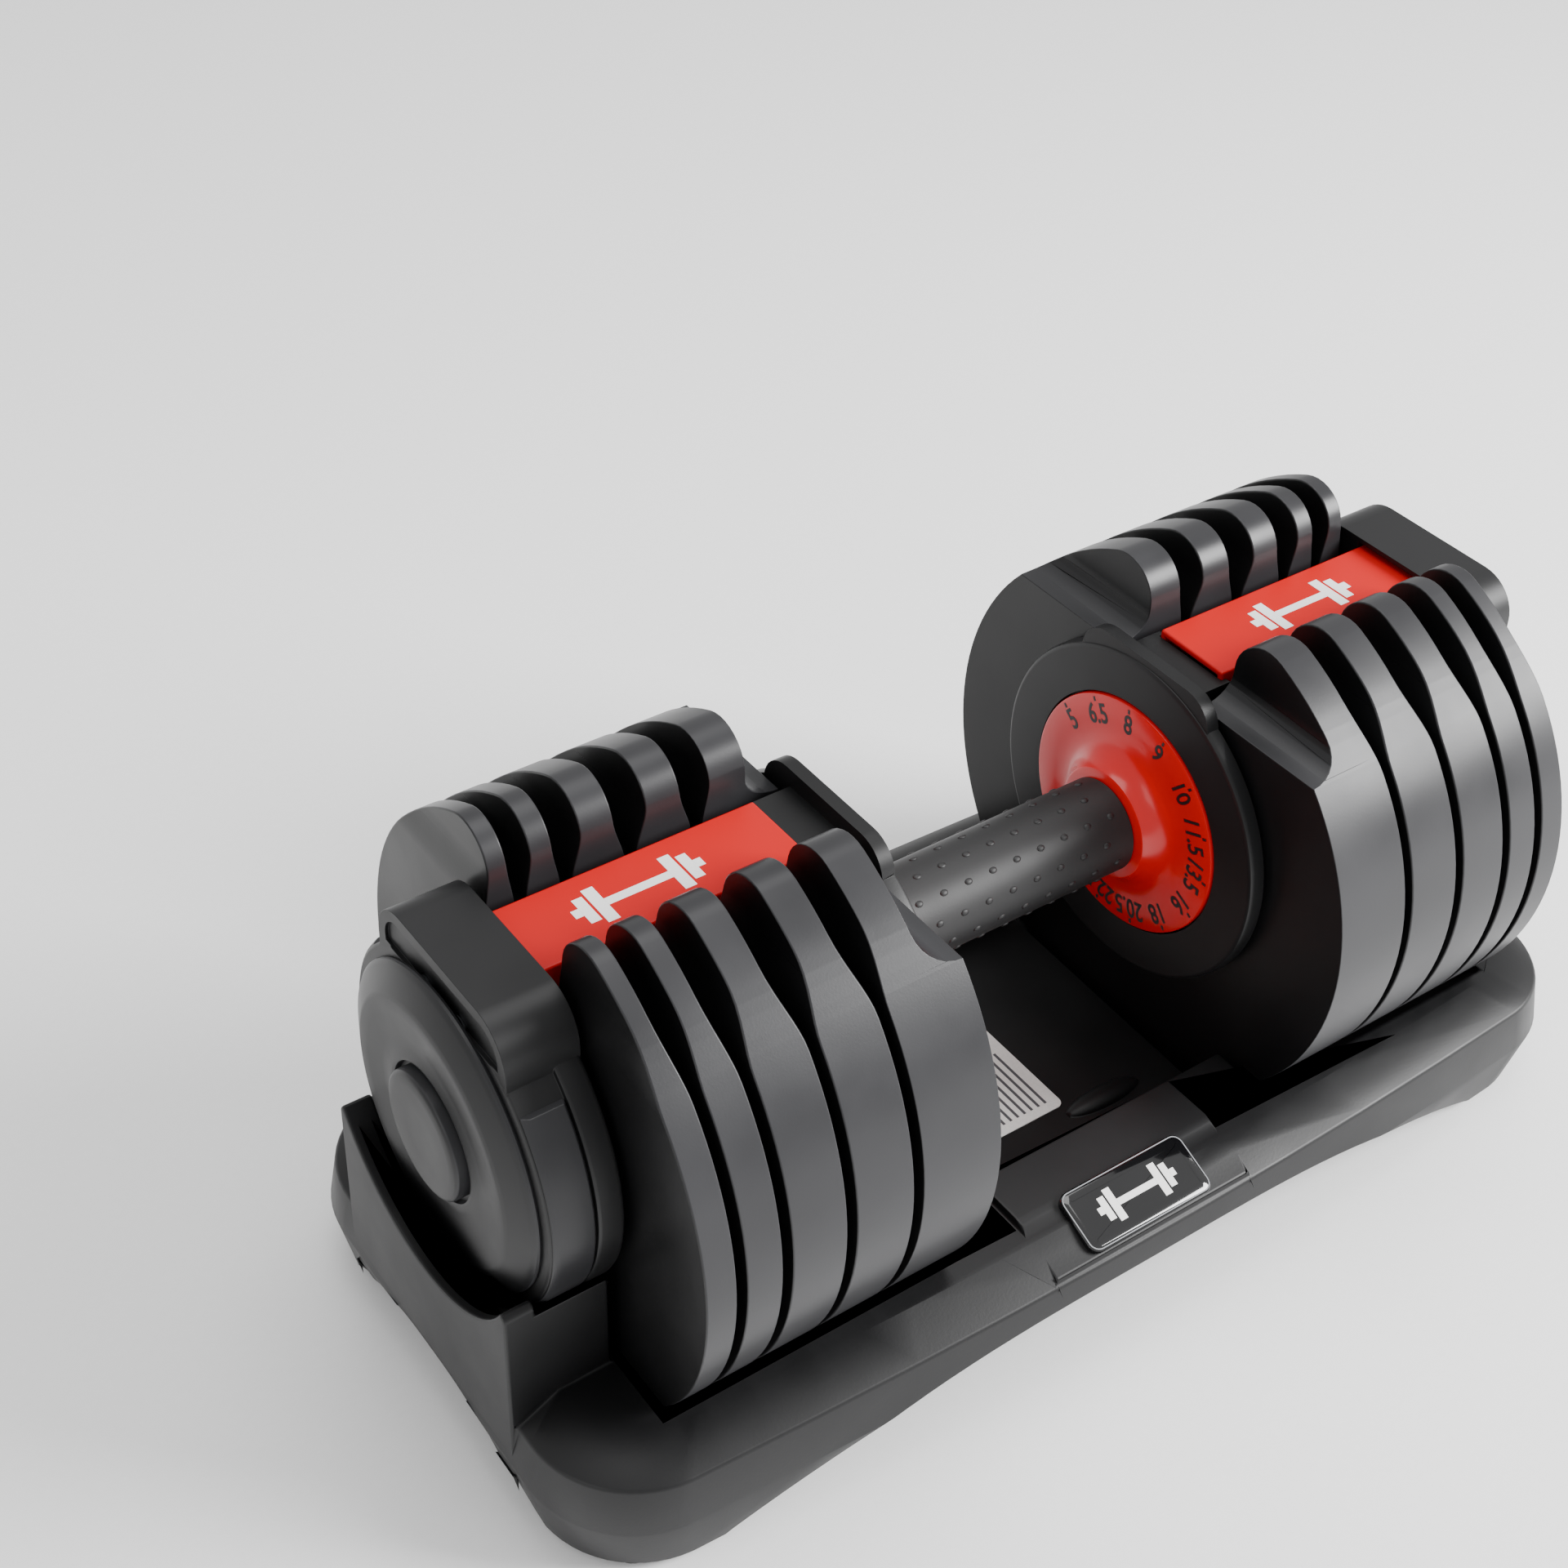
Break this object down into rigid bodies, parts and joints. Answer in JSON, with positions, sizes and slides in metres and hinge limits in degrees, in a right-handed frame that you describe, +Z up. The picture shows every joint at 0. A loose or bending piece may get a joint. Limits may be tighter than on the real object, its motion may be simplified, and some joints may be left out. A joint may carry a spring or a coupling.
{
  "type": "adjustable dumbbell in tray",
  "caption": "Adjustable dumbbell resting in a moulded tray: dial handle, slotted weight plates on both heads and red bridge pieces.",
  "frame": {"origin": "on the floor under the middle of the tray", "axes": "+X along the handle, -Y towards the badge side, +Z up"},
  "size_m": [0.4466, 0.2126, 0.2084],
  "materials": {
    "tray_shell": "moulded, satin",
    "foot_rubber": "matt",
    "badge_gloss": "domed gloss",
    "paper_label": "matt print",
    "steel_bar": "turned",
    "zinc_steel": "zinc plated",
    "bush_brass": "machined",
    "frame_black": "fine satin",
    "bridge_red": "satin",
    "black_screw": "black oxide",
    "cover_black": "fine satin",
    "grip_rubber": "matt with raised studs",
    "tube_steel": "drawn",
    "dial_red": "gloss",
    "selector_zinc": "die cast",
    "plate_cover": "satin mould",
    "plate_core": "as cast"
  },
  "bodies": {
    "tray_base": {"tray": "tray_shell", "tray_feet": "foot_rubber", "tray_badge": "badge_gloss", "tray_label": "paper_label"},
    "dumbbell_frame": {"axle": "steel_bar", "axle_nuts": "zinc_steel", "axle_bushes": "bush_brass", "inner_housing_left": "frame_black", "inner_housing_right": "frame_black", "end_frame_left": "frame_black", "end_frame_right": "frame_black", "bridge_left": "bridge_red", "bridge_right": "bridge_red", "end_screws": "black_screw", "end_cover_left": "cover_black", "end_cover_right": "cover_black", "hub_cap_left": "cover_black", "hub_cap_right": "cover_black"},
    "handle_rotor": {"grip": "grip_rubber", "handle_tube": "tube_steel", "dial_left": "dial_red", "dial_right": "dial_red", "selector_left": "selector_zinc", "selector_right": "selector_zinc", "selector_discs_left": "selector_zinc", "selector_discs_right": "selector_zinc"},
    "plate1_left_body": {"plate1_left": "plate_cover", "core1_left": "plate_core"},
    "plate2_left_body": {"plate2_left": "plate_cover", "core2_left": "plate_core"},
    "plate3_left_body": {"plate3_left": "plate_cover", "core3_left": "plate_core"},
    "plate4_left_body": {"plate4_left": "plate_cover", "core4_left": "plate_core"},
    "plate5_left_body": {"plate5_left": "plate_cover", "core5_left": "plate_core"},
    "plate1_right_body": {"plate1_right": "plate_cover", "core1_right": "plate_core"},
    "plate2_right_body": {"plate2_right": "plate_cover", "core2_right": "plate_core"},
    "plate3_right_body": {"plate3_right": "plate_cover", "core3_right": "plate_core"},
    "plate4_right_body": {"plate4_right": "plate_cover", "core4_right": "plate_core"},
    "plate5_right_body": {"plate5_right": "plate_cover", "core5_right": "plate_core"}
  },
  "joints": [
    {"name": "dumbbell_lift", "type": "slide", "parent": "tray_base", "child": "dumbbell_frame", "axis": [0, 0, 1], "range_m": [0, 0.25]},
    {"name": "handle_turn", "type": "hinge", "parent": "dumbbell_frame", "child": "handle_rotor", "pos_m": [0, 0, 0.126], "axis": [1, 0, 0], "range_deg": [0, 264]},
    {"name": "plate1_left_lift", "type": "slide", "parent": "tray_base", "child": "plate1_left_body", "axis": [0, 0, 1], "range_m": [0, 0.25]},
    {"name": "plate2_left_lift", "type": "slide", "parent": "tray_base", "child": "plate2_left_body", "axis": [0, 0, 1], "range_m": [0, 0.25]},
    {"name": "plate3_left_lift", "type": "slide", "parent": "tray_base", "child": "plate3_left_body", "axis": [0, 0, 1], "range_m": [0, 0.25]},
    {"name": "plate4_left_lift", "type": "slide", "parent": "tray_base", "child": "plate4_left_body", "axis": [0, 0, 1], "range_m": [0, 0.25]},
    {"name": "plate5_left_lift", "type": "slide", "parent": "tray_base", "child": "plate5_left_body", "axis": [0, 0, 1], "range_m": [0, 0.25]},
    {"name": "plate1_right_lift", "type": "slide", "parent": "tray_base", "child": "plate1_right_body", "axis": [0, 0, 1], "range_m": [0, 0.25]},
    {"name": "plate2_right_lift", "type": "slide", "parent": "tray_base", "child": "plate2_right_body", "axis": [0, 0, 1], "range_m": [0, 0.25]},
    {"name": "plate3_right_lift", "type": "slide", "parent": "tray_base", "child": "plate3_right_body", "axis": [0, 0, 1], "range_m": [0, 0.25]},
    {"name": "plate4_right_lift", "type": "slide", "parent": "tray_base", "child": "plate4_right_body", "axis": [0, 0, 1], "range_m": [0, 0.25]},
    {"name": "plate5_right_lift", "type": "slide", "parent": "tray_base", "child": "plate5_right_body", "axis": [0, 0, 1], "range_m": [0, 0.25]}
  ],
  "couplings": [
    {"joint": "plate1_left_lift", "follows": "dumbbell_lift", "ratio": 1},
    {"joint": "plate2_left_lift", "follows": "dumbbell_lift", "ratio": 1},
    {"joint": "plate3_left_lift", "follows": "dumbbell_lift", "ratio": 1},
    {"joint": "plate4_left_lift", "follows": "dumbbell_lift", "ratio": 1},
    {"joint": "plate5_left_lift", "follows": "dumbbell_lift", "ratio": 1},
    {"joint": "plate1_right_lift", "follows": "dumbbell_lift", "ratio": 1},
    {"joint": "plate2_right_lift", "follows": "dumbbell_lift", "ratio": 1},
    {"joint": "plate3_right_lift", "follows": "dumbbell_lift", "ratio": 1},
    {"joint": "plate4_right_lift", "follows": "dumbbell_lift", "ratio": 1},
    {"joint": "plate5_right_lift", "follows": "dumbbell_lift", "ratio": 1}
  ]
}
